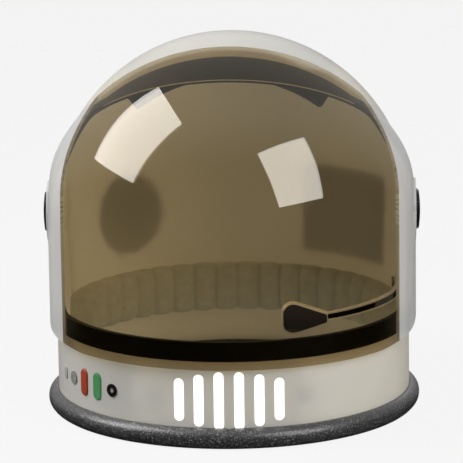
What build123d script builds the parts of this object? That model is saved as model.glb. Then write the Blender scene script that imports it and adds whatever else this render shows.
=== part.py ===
from build123d import *
import math
import os

os.makedirs("parts", exist_ok=True)

# Toy space helmet with a lifting tinted visor. Lengths are in millimetres and angles in degrees.
# The face looks along -Y, +X is on the right of someone who looks at the face, and +Z is up.
# The origin is under the middle of the foam collar. The visor turns about a line along X.

overrun = 40.0
sides = (-1, 1)

# Shell: a straight neck, a slight swell and a round dome about the visor's axis
hub_z = 152.5
neck_r = 137.3
dome_swell = 2.2
swell_start_z = 75.0
shell_wall = 3.0
shell_bottom_z = 3.6
split_y = 40.0
seam_gap = 0.15

# Face opening, seen from the side. Rises are measured from the visor's axis
opening_low_z = 79.5
opening_side_y = -27.0
opening_top_y = -76.0
opening_top_rise = 117.0
opening_top_slope = 0.76
opening_low_corner_r = 18.0
opening_top_corner_r = 14.0

# Rubber trim on the edge of the face opening
trim_lip_low = 13.3
trim_lip_side = 6.0
trim_lip_top_deg = 68.0
trim_lip_t = 1.2
trim_inner_lip = 5.0
trim_bead = 1.6
trim_clearance = 0.05

# Visor: one outline serves as its plan and as its section about the hinge line
visor_gap = 1.2
visor_wall = 2.0
visor_top_deg = 72.0
visor_low_z = 61.0
visor_low_flat_y = -85.0
visor_rear_y = 20.0
visor_rear_rise = 13.0
visor_rear_corner_r = 22.0
visor_low_bend_r = 70.0
visor_round_deg = 48.0
visor_side_y = -31.0
visor_side_inset = 2.3
lens_edge_y = -64.8
lens_bend_rise = 13.0
lens_lean_deg = 22.4
lens_bend_r = 60.0
cheek_flange_r = 24.0
cheek_flange_gap = 0.6

# Hubs
pivot_bolt_r = 3.0
pivot_shell_clearance = 0.12
pivot_running_clearance = 0.07
pivot_boss_r = 11.0
pivot_boss_depth = 4.6
pivot_head_r = 5.2
pivot_head_t = 1.7
washer_r = 9.0
washer_t = 0.8
washer_gap = 0.08
knob_r = 15.7
knob_gap = 0.3
knob_t = 1.5
knob_cap_t = 1.6
knob_cap_rim = 0.5
knob_cap_r = 15.1
knob_groove_t = 0.5
knob_groove_depth = 1.3
knob_knurl_r = 0.7
knob_knurl_count = 30
knob_cap_ring_r = 10.0
knob_cap_ring_w = 0.9
knob_cap_ring_rise = 0.75

# Foam collar: a slit tube pushed over the lower edge of the shell
collar_r = 8.0
collar_flat = 0.5
collar_slit_clearance = 0.1
collar_slit_floor = 0.1

# Six light bars in the front of the neck, and the row of controls beside them
bar_pitch_deg = 6.35
bar_w = 7.4
bar_lengths = (32.6, 39.6, 44.0, 44.0, 39.6, 32.6)
row_z = 36.3
bar_clearance = 0.15
diffuser_t = 1.3
diffuser_half_deg = 21.0
diffuser_low_z = 17.6
diffuser_top_z = 58.0
lamp_led_t = 0.9
lamp_led_w = 3.0
lamp_led_rows = (24.3, 36.3, 48.3)
lamp_strip_t = 1.0
lamp_strip_low_z = 20.3
lamp_strip_top_z = 52.3
lamp_strip_half_deg = 19.5
lamp_gap = 0.3
lamp_cover_wall = 1.5
lamp_lug_deg = 2.6
lamp_lug_half_h = 5.0
cable_z = 24.3
cable_half_h = 2.0
cable_end_deg = -37.5

# Controls, each at its own angle to the left of the face
row_step_deg = 6.93
port_deg = -40.4
port_ring_r = 5.0
port_bore_r = 1.8
port_hole_r = 3.9
port_proud = 0.8
port_rim_t = 0.8
button_w = 9.0
button_h = 21.2
button_clearance = 0.25
button_proud = 1.1
button_travel = 1.4
button_flange = 1.5
button_flange_t = 1.2
button_seat_gap = 0.4
button_crown_r = 1.0
indicator_w = 5.4
indicator_h = 9.7
indicator_proud = 0.7

# Sound box inside the neck behind the controls
box_mid_deg = -62.0
box_half_deg = 30.0
box_depth = 17.7
box_low_z = 18.0
box_top_z = 55.0
box_wall = 1.8
box_gap = 0.1
board_deg = -50.5
board_half_deg = 12.2
board_h = 29.0
board_t = 1.6
board_set = 9.8
chip_w = 9.0
chip_t = 1.6
board_post_r = 2.4
keypad_w = 30.0
keypad_h = 20.0
keypad_t = 1.0
keypad_gap = 0.7
keypad_dome_r = 4.4
keypad_dome_top_r = 3.3
cell_deg = -70.0
cell_r = 5.8
cell_t = 5.4
cell_gap = 0.1
cell_clearance = 0.25
cell_count = 3
cradle_w = 15.6
cradle_outer_gap = 2.6
cell_cover_half_deg = 5.0
cell_cover_t = 1.8
cell_cover_top = 5.0
contact_t = 0.5
contact_w = 8.0
speaker_deg = -83.0
speaker_r = 13.0
speaker_t = 5.0
speaker_cone_r = 10.0
speaker_cone_depth = 2.0
grille_hole_r = 1.3
grille_ring_r = 5.5
grille_count = 8

# Small screws that hold the box, its battery cover and the lamp cover
screw_r = 1.3
screw_head_r = 2.6
screw_head_t = 1.5
screw_bite = 1.8
screw_clearance = 0.08
tab_h = 7.0
tab_t = 2.6
tab_half_deg = 2.4
tab_screw_rise = 3.6
box_tab_degs = (-37.0, -87.0)

# Lugs and screws that join the two halves of the shell
lug_h = 12.0
lug_t = 6.0
lug_reach = 10.0
lug_neck_z = 29.0
lug_dome_deg = 48.0
shell_screw_r = 1.5
shell_screw_head_r = 2.9
shell_screw_head_t = 2.0
shell_screw_bite = 4.5

# Microphone on its boom, inside the visor at the right
boom_gap = 2.7
boom_t = 3.0
boom_socket_deg = 1.15
boom_z = 93.6
boom_head_half_h = 2.9
boom_bend_half_h = 3.7
boom_bend_y = -42.0
boom_bend_r = 20.0
boom_eye_inset = 3.2
boom_eye_y = -11.0
boom_eye_z = 97.0
boom_eye_r = 6.0
boom_eye_half_t = 2.6
boom_rim = 1.3
boom_strip_gap_deg = 0.6
boom_strip_t = 1.0
mic_neck_deg = 33.4
mic_turn_deg = 14.0
mic_stand = 3.1
mic_half_l = 17.2
mic_half_h = 11.7
mic_neck_half_h = 3.7
mic_shoulder = 7.0
mic_t = 8.5
mic_tilt_deg = 8.5
mic_end_corner_r = 8.0
mic_side_corner_r = 11.0
mic_neck_corner_r = 2.0
mic_edge_r = 2.6
mic_rim = 0.9
mic_cover_seat = 1.4
mic_cover_rise = 2.6
mic_cover_lean_deg = 4.0
mic_cover_dome_r = 22.0
fixed_gap = 0.05
bracket_w = 14.0
bracket_h = 17.0
bracket_gap = 0.3
bracket_wall_gap = 0.1
mic_screw_r = 2.0
mic_screw_head_r = 4.2
mic_screw_head_t = 1.8
mic_screw_bite = 2.6

# Foam pads inside
crown_pad_t = 13.0
crown_pad_front_y = -57.5
crown_pad_front_bow = 6.0
crown_pad_rear_y = 42.0
crown_pad_half_w = 78.0
crown_pad_corner_r = 24.0
crown_pad_lip_set = 5.6
crown_pad_lip_relief = 1.9
crown_pad_edge_r = 2.5
pad_gap = 0.1
rear_pad_low_z = 42.5
rear_pad_top_z = 82.3
rear_pad_back_t = 7.0
rear_pad_back_set = 4.0
rear_pad_pitch_deg = 8.4
rear_pad_rolls = 18
rear_pad_roll_overlap = 0.24

# Sewn patches on the back of the shell
patch_t = 0.7
patch_gap = 0.05
round_patch_deg = -140.2
round_patch_z = 127.5
round_patch_r = 32.5
rectangular_patch_deg = 137.3
rectangular_patch_z = 128.5
rectangular_patch_w = 90.0
rectangular_patch_h = 72.0
rectangular_patch_corner_r = 4.0

# Sizes that follow from the ones above
dome_r = neck_r + dome_swell
inner_neck_r = neck_r - shell_wall
inner_dome_r = dome_r - shell_wall
visor_half = dome_r + visor_gap + visor_wall
reach = dome_r + overrun
boss_face_x = dome_r - pivot_boss_depth
washer_seat_x = dome_r + cheek_flange_gap - washer_gap - washer_t
flange_in_x = dome_r + cheek_flange_gap
flange_out_x = visor_half
knob_in_x = flange_out_x + knob_gap
knob_out_x = knob_in_x + knob_t + knob_cap_t
collar_z = collar_r - collar_flat
box_out_r = inner_neck_r - box_gap
box_in_r = box_out_r - box_depth
lamp_out_r = inner_neck_r - box_gap
lamp_back_r = lamp_out_r - diffuser_t
lamp_strip_r = lamp_back_r - lamp_gap - lamp_led_t
lamp_cover_r = lamp_strip_r - lamp_strip_t - lamp_gap
green_deg = port_deg - row_step_deg
red_deg = green_deg - row_step_deg
grey_deg = red_deg - row_step_deg
indicator_deg = grey_deg - row_step_deg
opening_low_drop = hub_z - opening_low_z
visor_low_drop = hub_z - visor_low_z
boom_drop = hub_z - boom_z
boom_eye_drop = hub_z - boom_eye_z
boom_out_r = inner_neck_r - boom_gap
boom_eye_x = boom_out_r - boom_eye_inset
mic_neck_r = boom_out_r + mic_stand
boom_start_deg = mic_neck_deg - boom_socket_deg
board_r = inner_neck_r - board_set
board_w = 2 * board_r * math.tan(math.radians(board_half_deg))


def write(name, shape):
    export_step(shape, "parts/" + name + ".step")


def wall_plane(azimuth, radius, height):
    """Plane that faces outward at an angle from the face, with its Y axis upright."""
    turn = math.radians(azimuth)
    out = (math.sin(turn), -math.cos(turn), 0)
    along = (math.cos(turn), math.sin(turn), 0)
    return Plane(origin=(radius * out[0], radius * out[1], height), x_dir=along, z_dir=out)


def axle(side, radius, near_x, far_x):
    """Cylinder along X at the visor's axis, between two distances from the middle."""
    start = Plane(origin=(side * near_x, 0, hub_z), x_dir=(0, 1, 0), z_dir=(side, 0, 0))
    return extrude(start * Circle(radius), far_x - near_x)


def sector(r_in, r_out, low, top, azimuth, half_deg):
    """Curved block about the upright axis, centred at an angle from the face."""
    cut = Plane.XZ * Pos((r_in + r_out) / 2, (low + top) / 2) * Rectangle(r_out - r_in, top - low)
    quarter = math.degrees(math.pi / 2)
    return Rot(0, 0, azimuth - quarter - half_deg) * revolve(cut, Axis.Z, 2 * half_deg)


def slab(low, top):
    """Wide block between two positions along Y."""
    return Pos(0, (low + top) / 2, hub_z) * Box(2 * reach, top - low, 2 * reach)


def half_space(side):
    """Everything on one side of the middle."""
    return Pos(side * reach / 2, 0, hub_z) * Box(reach, 2 * reach, 2 * reach)


def side_prism(points, radii):
    """Outline in the side view, from points (y, height above the axis), run along X."""
    face = make_face(Polyline(*points, close=True))
    for point, radius in radii:
        corner = face.vertices().sort_by_distance((point[0], point[1], 0))[0]
        face = fillet(corner, radius)
    start = Plane(origin=(0, 0, hub_z), x_dir=(0, 1, 0), z_dir=(1, 0, 0))
    return extrude(start * face, reach, both=True)


def shell_body(grow):
    """Solid inside the shell's outer surface, moved outward by grow."""
    neck = neck_r + grow
    dome = dome_r + grow
    middle = ((neck + dome) / 2, (swell_start_z + hub_z) / 2)
    wall = Line((neck, shell_bottom_z), (neck, swell_start_z))
    lower = TangentArc((neck, swell_start_z), middle, tangent=(0, 1))
    upper = TangentArc(middle, (dome, hub_z), tangent=lower % 1)
    crown = CenterArc((0, hub_z), dome, 0, math.degrees(math.pi / 2))
    axis = Line((0, hub_z + dome), (0, shell_bottom_z))
    floor = Line((0, shell_bottom_z), (neck, shell_bottom_z))
    return revolve(Plane.XZ * make_face([wall, lower, upper, crown, axis, floor]), Axis.Z)


def opening_outline(grow):
    """Side outline of the face opening, moved outward by grow."""
    front = -reach
    low = -opening_low_drop - grow
    side = opening_side_y + grow
    lift = opening_top_rise + grow * math.hypot(1, opening_top_slope)
    corner = (side, lift - opening_top_slope * (side - opening_top_y))
    top = (front, lift - opening_top_slope * (front - opening_top_y))
    points = ((front, low), (side, low), corner, top)
    radii = (((side, low), opening_low_corner_r + grow), (corner, opening_top_corner_r + grow))
    return side_prism(points, radii)


def lip_outline(grow):
    """Side outline of the trim's outer lip: narrow at the sides, a crescent at the top."""
    front = -reach
    low = -opening_low_drop - trim_lip_low - grow
    edge = trim_lip_side + grow
    side = opening_side_y + edge
    lift = opening_top_rise + edge * math.hypot(1, opening_top_slope)
    corner = (side, lift - opening_top_slope * (side - opening_top_y))
    ray = math.tan(math.radians(trim_lip_top_deg)) + grow / dome_r
    meet_y = -(lift + opening_top_slope * opening_top_y) / (ray - opening_top_slope)
    meet = (meet_y, -ray * meet_y)
    points = ((front, low), (side, low), corner, meet, (front, -ray * front))
    radii = (((side, low), opening_low_corner_r + edge), (corner, opening_top_corner_r + edge))
    return side_prism(points, radii)


def slot_prism(azimuth, width, height, near_r, far_r):
    """Upright slot with round ends that points outward through the neck."""
    face = SlotOverall(height, width, rotation=math.degrees(math.pi / 2))
    return extrude(wall_plane(azimuth, near_r, row_z) * face, far_r - near_r)


def pin(azimuth, radius, near_r, far_r, height):
    """Round bar that points outward through the neck."""
    return extrude(wall_plane(azimuth, near_r, height) * Circle(radius), far_r - near_r)


def bar_angles():
    middle = (len(bar_lengths) - 1) / 2
    return [(index - middle) * bar_pitch_deg for index in range(len(bar_lengths))]


def lug_places():
    """Middle of each joining lug on the parting plane, with its direction to the axis."""
    places = []
    for side in sides:
        neck_x = math.sqrt(inner_neck_r**2 - split_y**2)
        places.append((side * neck_x, lug_neck_z, 0 if side > 0 else math.degrees(math.pi)))
        ring = math.sqrt(inner_dome_r**2 - split_y**2)
        lift = math.radians(lug_dome_deg)
        x = side * ring * math.cos(lift)
        z = hub_z + ring * math.sin(lift)
        places.append((x, z, lug_dome_deg if side > 0 else math.degrees(math.pi) - lug_dome_deg))
    return places


def lug(place, low_y, high_y):
    """Block that hangs from the shell's inner face and reaches toward the axis."""
    x, z, lift = place
    block = Box(2 * lug_reach, high_y - low_y, lug_h)
    return Pos(x, (low_y + high_y) / 2, z) * Rot(0, -lift, 0) * block


def lug_axis(place):
    """Plane for the screw of one lug, facing to the back."""
    x, z, lift = place
    turn = math.radians(lift)
    inset = lug_reach / 2
    spot = (x - inset * math.cos(turn), split_y, z - inset * math.sin(turn))
    return Plane(origin=spot, x_dir=(1, 0, 0), z_dir=(0, 1, 0))


def lugs(low_y, high_y, inner):
    """All lugs on one side of the seam, trimmed to the shell's middle surface."""
    made = Part()
    for place in lug_places():
        made += lug(place, low_y, high_y)
    return made & inner


def tab_places():
    """Angle and height of each small screw in the neck, and the face that its head bears on."""
    places = [(azimuth, box_top_z + tab_screw_rise) for azimuth in box_tab_degs]
    places += [(side * lamp_tab_deg(), row_z) for side in sides]
    return places


def lamp_tab_deg():
    return diffuser_half_deg + lamp_wall_deg() + lamp_lug_deg


def lamp_wall_deg():
    return math.degrees((lamp_cover_wall + bar_clearance) / lamp_out_r)


def make_shells():
    outer = shell_body(0)
    inner = shell_body(-shell_wall)
    middle = shell_body(-shell_wall / 2)
    hollow = inner + Pos(0, 0, shell_bottom_z) * Cylinder(inner_neck_r, 2 * shell_wall)
    wall = outer - hollow
    front = (wall & slab(-reach, split_y)) - opening_outline(0)
    front -= (shell_body(overrun) - shell_body(-trim_lip_t)) & lip_outline(trim_clearance)
    for side in sides:
        front += axle(side, pivot_boss_r, boss_face_x, dome_r) & middle
        front -= axle(side, pivot_bolt_r + pivot_shell_clearance, boss_face_x - overrun, reach)
        front -= axle(side, washer_r + washer_gap, washer_seat_x, reach)
    front += lugs(split_y - lug_t, split_y, middle)
    for azimuth, length in zip(bar_angles(), bar_lengths):
        wide = bar_w + 2 * bar_clearance
        tall = length + 2 * bar_clearance
        front -= slot_prism(azimuth, wide, tall, box_in_r, reach)
    for azimuth in (green_deg, red_deg):
        wide = button_w + 2 * button_clearance
        tall = button_h + 2 * button_clearance
        front -= slot_prism(azimuth, wide, tall, box_in_r, reach)
    for azimuth in (port_deg, grey_deg):
        front -= pin(azimuth, port_hole_r + bar_clearance, box_in_r, reach, row_z)
    wide = indicator_w + 2 * bar_clearance
    tall = indicator_h + 2 * bar_clearance
    front -= slot_prism(indicator_deg, wide, tall, box_in_r, reach)
    for azimuth, height in tab_places():
        bite = inner_neck_r + screw_bite + screw_clearance
        front -= pin(azimuth, screw_r + screw_clearance, box_in_r, bite, height)
    rear = wall & slab(split_y + seam_gap, reach)
    rear += lugs(split_y + seam_gap, split_y + lug_t, middle)
    for place in lug_places():
        hole = Circle(shell_screw_r + screw_clearance)
        front -= extrude(lug_axis(place) * hole, -lug_t - overrun)
        rear -= extrude(lug_axis(place) * hole, shell_screw_bite + seam_gap)
    return front, rear


def make_trim():
    lip = shell_body(0) - shell_body(-trim_lip_t - trim_clearance)
    outer_lip = lip & lip_outline(0)
    core_face = -trim_lip_t + trim_clearance
    inner_face = -shell_wall - trim_clearance
    inner_lip = shell_body(inner_face) - shell_body(inner_face - trim_lip_t)
    inner_lip = inner_lip & opening_outline(trim_inner_lip)
    bead = shell_body(0) - shell_body(inner_face - trim_lip_t)
    bead = bead & opening_outline(-trim_clearance)
    channel = shell_body(core_face) - shell_body(inner_face) - opening_outline(-trim_clearance)
    return (outer_lip + bead + inner_lip) - channel - opening_outline(-trim_bead)


def fair_curve(start, heading, end, arrival):
    """Two arcs that leave and arrive along given directions and meet smoothly."""
    span = Vector(*end) - Vector(*start)
    ahead = Vector(*heading).normalized()
    behind = Vector(*arrival).normalized()
    together = span.dot(ahead + behind)
    bend = 1 - ahead.dot(behind)
    length = (math.sqrt(together**2 + 2 * bend * span.dot(span)) - together) / (2 * bend)
    joint = (Vector(*start) + ahead * length + Vector(*end) - behind * length) / 2
    first = TangentArc(start, joint, tangent=ahead)
    return [first, TangentArc(joint, end, tangent=first % 1)]


def visor_curve(side, half):
    """Outline of the visor in plan: round in front, square at the shoulder, straight at the hub."""
    turn = math.radians(visor_round_deg)
    front = (0, -half)
    middle = (side * half * math.sin(turn / 2), -half * math.cos(turn / 2))
    shoulder = (side * half * math.sin(turn), -half * math.cos(turn))
    flank = (side * (half - visor_side_inset), visor_side_y)
    arc = ThreePointArc(front, middle, shoulder)
    cheek = TangentArc((side * half, 0), flank, tangent=(0, -1))
    return [arc, *fair_curve(shoulder, arc % 1, flank, -(cheek % 1)), cheek]


def visor_section():
    """Thin crescent between the visor's outer and inner faces."""
    edges = []
    for side in sides:
        inside = visor_half - visor_wall
        edges += visor_curve(side, visor_half) + visor_curve(side, inside)
        edges.append(Line((side * visor_half, 0), (side * inside, 0)))
    return make_face(edges)


def visor_outline():
    """Side outline of the visor's lower and rear edges."""
    low = -visor_low_drop
    rear_low = (visor_rear_y, low + visor_rear_rise)
    bend = (visor_low_flat_y, low)
    points = ((-reach, low), bend, rear_low, (visor_rear_y, reach), (-reach, reach))
    return side_prism(points, ((rear_low, visor_rear_corner_r), (bend, visor_low_bend_r)))


def lens_outline():
    """Side outline of everything in front of the seam between lens and cheeks."""
    bend = (lens_edge_y, lens_bend_rise)
    lean = math.tan(math.radians(lens_lean_deg))
    top = (lens_edge_y + (reach - lens_bend_rise) * lean, reach)
    points = ((-reach, -reach), (lens_edge_y, -reach), bend, top, (-reach, reach))
    return side_prism(points, ((bend, lens_bend_r),))


def make_visor():
    section = Pos(0, 0, hub_z) * visor_section()
    hinge = Axis((0, 0, hub_z), (-1, 0, 0))
    skin = revolve(section, hinge, visor_top_deg) + extrude(section, -visor_low_drop - overrun)
    window = lens_outline()
    lens = skin & window & visor_outline()
    cheeks = {}
    for side in sides:
        x = side * (visor_half - visor_wall / 2)
        plate = Pos(x, visor_rear_y / 2, hub_z - visor_low_drop / 2)
        plate = plate * Box(visor_wall, visor_rear_y, visor_low_drop)
        cheek = ((skin - window) & half_space(side)) + plate
        cheek += axle(side, cheek_flange_r, flange_in_x, flange_out_x)
        cheek = cheek & (visor_outline() + axle(side, cheek_flange_r, flange_in_x, flange_out_x))
        cheek -= axle(side, pivot_bolt_r + pivot_running_clearance, flange_in_x - overrun, reach)
        cheeks[side] = cheek
    return lens, cheeks


def make_bolt(side):
    head = axle(side, pivot_head_r, boss_face_x - pivot_head_t, boss_face_x)
    return head + axle(side, pivot_bolt_r, boss_face_x - pivot_head_t, knob_in_x + knob_t)


def make_washer(side):
    ring = axle(side, washer_r, washer_seat_x, washer_seat_x + washer_t)
    return ring - axle(side, pivot_bolt_r + pivot_shell_clearance, 0, reach)


def make_knob(side):
    knob = axle(side, knob_r, knob_in_x, knob_in_x + knob_t)
    bore = pivot_bolt_r + pivot_running_clearance
    knob -= axle(side, bore, 0, reach)
    for index in range(knob_knurl_count):
        turn = math.radians(index * math.degrees(2 * math.pi) / knob_knurl_count)
        spot = (side * knob_in_x, knob_r * math.cos(turn), hub_z + knob_r * math.sin(turn))
        start = Plane(origin=spot, x_dir=(0, 1, 0), z_dir=(side, 0, 0))
        knob -= extrude(start * Circle(knob_knurl_r), knob_t - knob_groove_t)
    groove_x = knob_in_x + knob_t - knob_groove_t
    ring = axle(side, knob_r, groove_x, knob_in_x + knob_t)
    knob -= ring - axle(side, knob_r - knob_groove_depth, groove_x, knob_in_x + knob_t)
    return knob


def make_knob_cap(side):
    """Domed cap with one ring groove."""
    cap = axle(side, knob_cap_r, knob_in_x + knob_t, knob_out_x)
    crown = knob_cap_t - knob_cap_rim
    dome = (knob_cap_r**2 + crown**2) / (2 * crown)
    quarter = math.degrees(math.pi / 2)
    cap = cap & (Pos(side * (knob_out_x - dome), 0, hub_z) * Rot(0, 0, quarter) * Sphere(dome))
    ring_x = knob_in_x + knob_t + knob_cap_ring_rise
    ring = axle(side, knob_cap_ring_r, ring_x, reach)
    return cap - (ring - axle(side, knob_cap_ring_r - knob_cap_ring_w, ring_x, reach))


def make_collar():
    path_r = neck_r
    tube = revolve(Plane.XZ * Pos(path_r, collar_z) * Circle(collar_r), Axis.Z)
    ground = Pos(0, 0, -collar_r) * Cylinder(path_r + 2 * collar_r, 2 * collar_r)
    slit_in = inner_neck_r - collar_slit_clearance
    slit_out = neck_r + collar_slit_clearance
    floor = shell_bottom_z - collar_slit_floor
    slit = Cylinder(slit_out, collar_r, align=(Align.CENTER, Align.CENTER, Align.MIN))
    slit -= Cylinder(slit_in, collar_r, align=(Align.CENTER, Align.CENTER, Align.MIN))
    slit_tall = Pos(0, 0, floor) * slit + Pos(0, 0, floor + collar_r / 2) * slit
    return tube - ground - slit_tall


def make_diffuser():
    low = diffuser_low_z
    top = diffuser_top_z
    body = sector(lamp_back_r, lamp_out_r, low, top, 0, diffuser_half_deg)
    bars = Part()
    for azimuth, length in zip(bar_angles(), bar_lengths):
        bars += slot_prism(azimuth, bar_w, length, inner_neck_r - shell_wall, reach)
    deg = diffuser_half_deg
    lens_wall = sector(inner_neck_r, neck_r, shell_bottom_z, swell_start_z, 0, deg)
    root = sector(lamp_back_r, inner_neck_r, low, top, 0, deg)
    return body + (bars & (lens_wall + root))


def make_lamp_strip():
    strip_in = lamp_strip_r - lamp_strip_t
    low = lamp_strip_low_z
    strip = sector(strip_in, lamp_strip_r, low, lamp_strip_top_z, 0, lamp_strip_half_deg)
    for azimuth in bar_angles():
        for height in lamp_led_rows:
            place = wall_plane(azimuth, lamp_strip_r - lamp_strip_t / 2, height)
            lamp = Rectangle(lamp_led_w, lamp_led_w)
            strip += extrude(place * lamp, lamp_strip_t / 2 + lamp_led_t)
    return strip


def make_lamp_cover():
    low = diffuser_low_z - bar_clearance
    top = diffuser_top_z + bar_clearance
    deg = diffuser_half_deg + math.degrees(bar_clearance / lamp_out_r)
    wide = diffuser_half_deg + lamp_wall_deg()
    wall = lamp_cover_wall
    body = sector(lamp_cover_r - wall, lamp_out_r, low - wall, top + wall, 0, wide)
    body -= sector(lamp_cover_r, reach, low, top, 0, deg)
    for side in sides:
        middle = side * lamp_tab_deg()
        low_tab = row_z - lamp_lug_half_h
        top_tab = row_z + lamp_lug_half_h
        body += sector(lamp_out_r - tab_t, lamp_out_r, low_tab, top_tab, middle, lamp_lug_deg)
        body -= pin(middle, screw_r + screw_clearance, box_in_r, reach, row_z)
    return body - lamp_cable(fixed_gap)


def lamp_cable(grow):
    """Flat cable from the lamp strip to the circuit board, grown by a clearance."""
    start = -lamp_strip_half_deg - math.degrees(fixed_gap / lamp_strip_r)
    middle = (start + cable_end_deg) / 2
    low = cable_z - cable_half_h - grow
    top = cable_z + cable_half_h + grow
    near = lamp_strip_r - lamp_strip_t + fixed_gap - grow
    return sector(near, lamp_strip_r - fixed_gap + grow, low, top, middle, start - middle)


def make_port(azimuth):
    face_r = neck_r + port_proud
    rim = pin(azimuth, port_ring_r, face_r - port_rim_t, face_r, row_z)
    barrel = pin(azimuth, port_hole_r, inner_neck_r - port_rim_t, face_r, row_z)
    seat = shell_body(trim_clearance)
    rim = rim - seat
    return (rim + barrel) - pin(azimuth, port_bore_r, box_in_r, reach, row_z)


def make_port_plug(azimuth):
    radius = port_bore_r - trim_clearance
    face_r = neck_r + port_proud - port_rim_t / 2
    return pin(azimuth, radius, inner_neck_r - port_rim_t, face_r, row_z)


def make_indicator():
    body = slot_prism(indicator_deg, indicator_w, indicator_h, inner_neck_r, neck_r + indicator_proud)
    return body


def make_button(azimuth):
    face_r = neck_r + button_proud
    seat_r = inner_neck_r - button_seat_gap
    cap = slot_prism(azimuth, button_w, button_h, seat_r - button_flange_t, face_r)
    crown = cap.faces().sort_by_distance(wall_plane(azimuth, face_r, row_z).origin)[0]
    cap = fillet(crown.edges(), button_crown_r)
    wide = button_w + 2 * button_flange
    tall = button_h + 2 * button_flange
    return cap + slot_prism(azimuth, wide, tall, seat_r - button_flange_t, seat_r)


def board_plane(radius):
    return wall_plane(board_deg, radius, row_z)


def make_board():
    board = extrude(board_plane(board_r) * Rectangle(board_w, board_h), board_t)
    chip = board_plane(board_r) * Pos(board_w / 4, 0) * Rectangle(chip_w, chip_w)
    board += extrude(chip, -chip_t)
    return board


def make_keypad():
    back = board_r + board_t
    turn = (red_deg + green_deg) / 2 - board_deg
    shift = back * math.tan(math.radians(turn))
    base = board_plane(back) * Pos(shift, 0) * Rectangle(keypad_w, keypad_h)
    pad = extrude(base, keypad_t)
    rest_r = inner_neck_r - button_seat_gap - button_flange_t
    rise = rest_r - button_travel - keypad_gap - back
    for azimuth in (green_deg, red_deg):
        place = back * math.tan(math.radians(azimuth - board_deg))
        foot = board_plane(back) * Pos(place, 0) * Circle(keypad_dome_r)
        top = board_plane(back + rise) * Pos(place, 0) * Circle(keypad_dome_top_r)
        pad += loft([foot, top])
    return pad


def cell_heights():
    step = cell_t + cell_gap
    low = row_z - (cell_count * step - cell_gap) / 2
    return [low + index * step for index in range(cell_count)]


def cell_spot():
    place = wall_plane(cell_deg, box_in_r + box_wall + cell_r, 0)
    return place.origin


def make_cells():
    spot = cell_spot()
    cells = []
    for low in cell_heights():
        disc = Cylinder(cell_r, cell_t, align=(Align.CENTER, Align.CENTER, Align.MIN))
        cells.append(Pos(spot.X, spot.Y, low) * disc)
    return Compound(children=cells)


def contact_lows():
    heights = cell_heights()
    return (heights[0] - cell_gap - contact_t, heights[-1] + cell_t + cell_gap)


def make_contacts():
    plates = []
    for low in contact_lows():
        face = wall_plane(cell_deg, 0, low)
        spot = cell_spot()
        plate = Box(contact_w, contact_w, contact_t, align=(Align.CENTER, Align.CENTER, Align.MIN))
        plates.append(Pos(spot.X, spot.Y, low) * Rot(0, 0, cell_deg) * plate)
    return Compound(children=plates)


def make_sound_box():
    body = sector(box_in_r, box_out_r, box_low_z, box_top_z, box_mid_deg, box_half_deg)
    wall_deg = math.degrees(box_wall / box_out_r)
    low = box_low_z + box_wall
    top = box_top_z - box_wall
    body -= sector(box_in_r + box_wall, reach, low, top, box_mid_deg, box_half_deg - wall_deg)
    lows = contact_lows()
    low_shelf = lows[0] - cell_gap
    top_shelf = lows[1] + contact_t + cell_gap
    back = box_in_r + box_wall + 2 * cell_r + cradle_outer_gap
    block = Rectangle(cradle_w, top_shelf - low_shelf + 2 * box_wall)
    middle = (low_shelf + top_shelf) / 2
    cradle = extrude(wall_plane(cell_deg, box_in_r, middle) * block, back - box_in_r)
    bay = Rectangle(2 * (cell_r + cell_clearance), top_shelf - low_shelf)
    bay_back = box_in_r + box_wall + cell_r
    mouth_r = box_in_r - overrun
    hole = extrude(wall_plane(cell_deg, mouth_r, middle) * bay, bay_back - mouth_r)
    spot = cell_spot()
    round_bay = Cylinder(cell_r + cell_clearance, top_shelf - low_shelf)
    hole += Pos(spot.X, spot.Y, middle) * round_bay
    body += cradle & shell_body(-shell_wall - box_gap)
    body -= hole
    hole_r = screw_r + screw_clearance
    for azimuth in box_tab_degs:
        tab_in = box_out_r - tab_t
        tab_low = box_top_z - box_wall
        body += sector(tab_in, box_out_r, tab_low, box_top_z + tab_h, azimuth, tab_half_deg)
        body -= pin(azimuth, hole_r, box_in_r, reach, box_top_z + tab_screw_rise)
    depth = cover_screw_bite()
    body -= pin(cell_deg, hole_r, box_in_r - overrun, box_in_r + depth, cover_screw_z())
    for index in range(grille_count):
        turn = math.radians(index * math.degrees(2 * math.pi) / grille_count)
        spot = Pos(grille_ring_r * math.cos(turn), grille_ring_r * math.sin(turn))
        hole = wall_plane(speaker_deg, box_in_r - box_wall, row_z) * spot * Circle(grille_hole_r)
        body -= extrude(hole, 2 * box_wall + box_wall / 2)
    return body + board_posts() - lamp_cable(fixed_gap)


def board_posts():
    """Two posts that carry the circuit board on the back of the box."""
    posts = Part()
    along = board_w / 2 - board_post_r
    foot = math.sqrt((box_in_r + box_wall / 2) ** 2 - along**2)
    for side in sides:
        spot = Pos(side * along, board_h / 2 - board_post_r)
        face = board_plane(foot) * spot * Circle(board_post_r)
        posts += extrude(face, board_r - foot - trim_clearance)
    return posts


def cover_screw_z():
    return contact_lows()[1] + contact_t + cell_gap + box_wall + screw_head_r + screw_clearance


def cover_screw_bite():
    return box_wall - screw_clearance


def make_cell_cover():
    low = contact_lows()[0] - box_wall
    top = cover_screw_z() + cell_cover_top / 2
    out = box_in_r - trim_clearance
    cover = sector(out - cell_cover_t, out, low, top, cell_deg, cell_cover_half_deg)
    return cover - pin(cell_deg, screw_r + screw_clearance, box_in_r - overrun, reach, cover_screw_z())


def make_speaker():
    back = box_in_r + box_wall + trim_clearance
    body = pin(speaker_deg, speaker_r, back, back + speaker_t, row_z)
    cone = wall_plane(speaker_deg, back, row_z) * Circle(speaker_cone_r)
    tip = wall_plane(speaker_deg, back + speaker_cone_depth, row_z) * Circle(speaker_cone_r / 2)
    return body - loft([cone, tip])


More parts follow.
